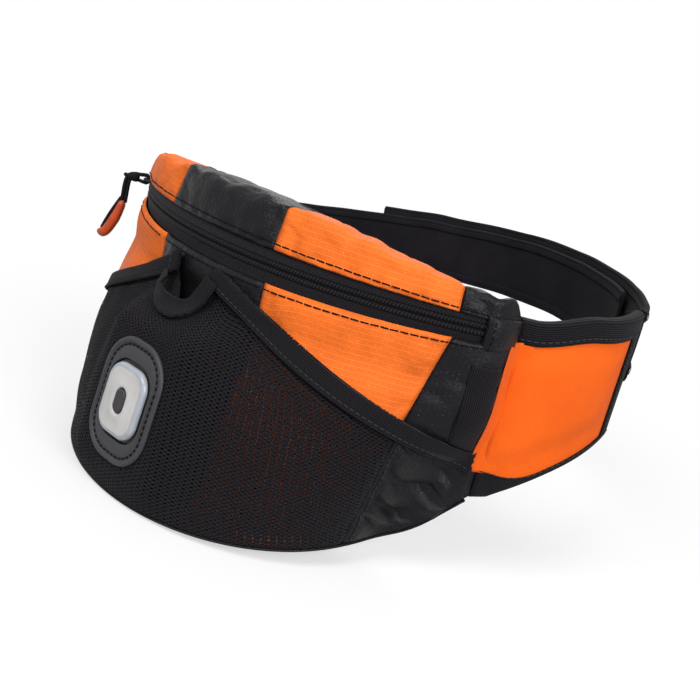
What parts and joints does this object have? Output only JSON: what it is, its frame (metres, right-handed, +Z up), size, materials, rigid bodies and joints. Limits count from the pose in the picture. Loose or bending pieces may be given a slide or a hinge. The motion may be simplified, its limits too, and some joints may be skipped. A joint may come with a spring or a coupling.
{
  "type": "waist pack",
  "caption": "running waist pack in black and orange: curved zip compartment, mesh pocket with a clip light, padded belt wings and hook-and-loop strap",
  "frame": {"origin": "middle of the waist loop, at the straps' mid height", "axes": "+Z up along the wearer's waist axis, -Y towards the pack's front, +X to the right of a viewer facing the pack"},
  "size_m": [0.3129, 0.2886, 0.1616],
  "materials": {
    "ripstop_orange": "woven ripstop, satin",
    "ripstop_black": "woven ripstop, satin",
    "air_mesh": "open knit, matt",
    "padding": "closed-cell foam sheet, matt",
    "pocket_mesh": "perforated stretch knit, matt",
    "zip_tape": "woven tape, matt",
    "zip_coil": "moulded nylon",
    "slider_metal": "black coated",
    "pull_cord": "braided cord",
    "pull_grip": "moulded",
    "light_rubber": "moulded, matt",
    "light_case": "moulded",
    "cell_steel": "plain",
    "circuit_board": "coated board",
    "diode": "cast",
    "light_lens": "translucent moulding",
    "wing_face": "brushed stretch knit",
    "wing_lining": "stretch knit",
    "strap": "brushed stretch webbing",
    "hook_and_loop": "hook or loop pile",
    "webbing": "ribbed elastic tape"
  },
  "bodies": {
    "pack": {"back_mesh": "air_mesh", "back_foam": "padding", "back_lining": "air_mesh", "bottom_panel": "ripstop_black", "upper_panel_centre": "ripstop_black", "upper_panel_left": "ripstop_orange", "upper_panel_right": "ripstop_orange", "upper_end_left": "ripstop_black", "upper_end_right": "ripstop_black", "lower_panel_centre": "ripstop_black", "lower_panel_left": "ripstop_orange", "lower_panel_right": "ripstop_orange", "lower_end_left": "ripstop_black", "lower_end_right": "ripstop_black", "zip_tape_upper": "zip_tape", "zip_tape_lower": "zip_tape", "zip_coil_upper": "zip_coil", "zip_coil_lower": "zip_coil", "zip_stop_left": "zip_coil", "zip_stop_right": "zip_coil", "pocket_mesh": "pocket_mesh", "pocket_gusset_left": "ripstop_black", "pocket_gusset_right": "ripstop_black", "pocket_binding_left": "webbing", "pocket_binding_right": "webbing", "end_strip_left": "webbing", "end_strip_right": "webbing", "light_patch": "light_rubber", "light_housing": "light_case", "light_battery": "cell_steel", "light_board": "circuit_board", "light_diode_upper": "diode", "light_diode_lower": "diode", "light_lens": "light_lens"},
    "slider": {"zip_slider": "slider_metal"},
    "pull": {"zip_pull_cord": "pull_cord", "zip_pull_grip": "pull_grip"},
    "button": {"light_button": "light_rubber"},
    "loop": {"key_loop": "webbing"},
    "wing_right": {"wing_face_right": "wing_face", "wing_foam_right": "padding", "wing_lining_right": "wing_lining", "wing_binding_top_right": "webbing", "wing_binding_bottom_right": "webbing", "wing_binding_end_right": "webbing"},
    "strap_right": {"strap_right": "strap", "strap_binding_top_right": "webbing", "strap_binding_bottom_right": "webbing", "hook_patch": "hook_and_loop"},
    "wing_left": {"wing_face_left": "wing_face", "wing_foam_left": "padding", "wing_lining_left": "wing_lining", "wing_binding_top_left": "webbing", "wing_binding_bottom_left": "webbing", "wing_binding_end_left": "webbing"},
    "strap_left": {"strap_left": "strap", "strap_binding_top_left": "webbing", "strap_binding_bottom_left": "webbing", "loop_patch": "hook_and_loop"}
  },
  "joints": [
    {"name": "zip_slide", "type": "hinge", "parent": "pack", "child": "slider", "pos_m": [0, 0.03227, 0.0058], "axis": [0, 0, 1], "range_deg": [0, 92.8]},
    {"name": "pull_swing", "type": "hinge", "parent": "slider", "child": "pull", "pos_m": [-0.12879, -0.09037, 0.0058], "axis": [-0.6896, 0.7242, 0], "range_deg": [0, 100]},
    {"name": "light_press", "type": "slide", "parent": "pack", "child": "button", "axis": [0, 0.9903, -0.1392], "range_m": [0, 0.0008], "stiffness_N_per_m": 300, "springref_m": -0.001},
    {"name": "key_loop_swing", "type": "hinge", "parent": "pack", "child": "loop", "pos_m": [-0.0017, -0.14529, -0.0105], "axis": [-0.9611, 0.0092, -0.2762], "range_deg": [0, 30]},
    {"name": "wing_right_swing", "type": "hinge", "parent": "pack", "child": "wing_right", "pos_m": [0.13175, -0.0583, 0], "axis": [0, 0, -1], "range_deg": [0, 40]},
    {"name": "wing_left_swing", "type": "hinge", "parent": "pack", "child": "wing_left", "pos_m": [-0.12627, -0.05247, 0], "axis": [0, 0, -1], "range_deg": [0, 12]},
    {"name": "strap_right_swing", "type": "hinge", "parent": "wing_right", "child": "strap_right", "pos_m": [0.15284, 0.01677, 0.00274], "axis": [0, 0, -1], "range_deg": [0, 60]},
    {"name": "strap_left_swing", "type": "hinge", "parent": "wing_left", "child": "strap_left", "pos_m": [-0.14491, 0.01401, -0.01869], "axis": [0, 0, -1], "range_deg": [0, 12]}
  ]
}
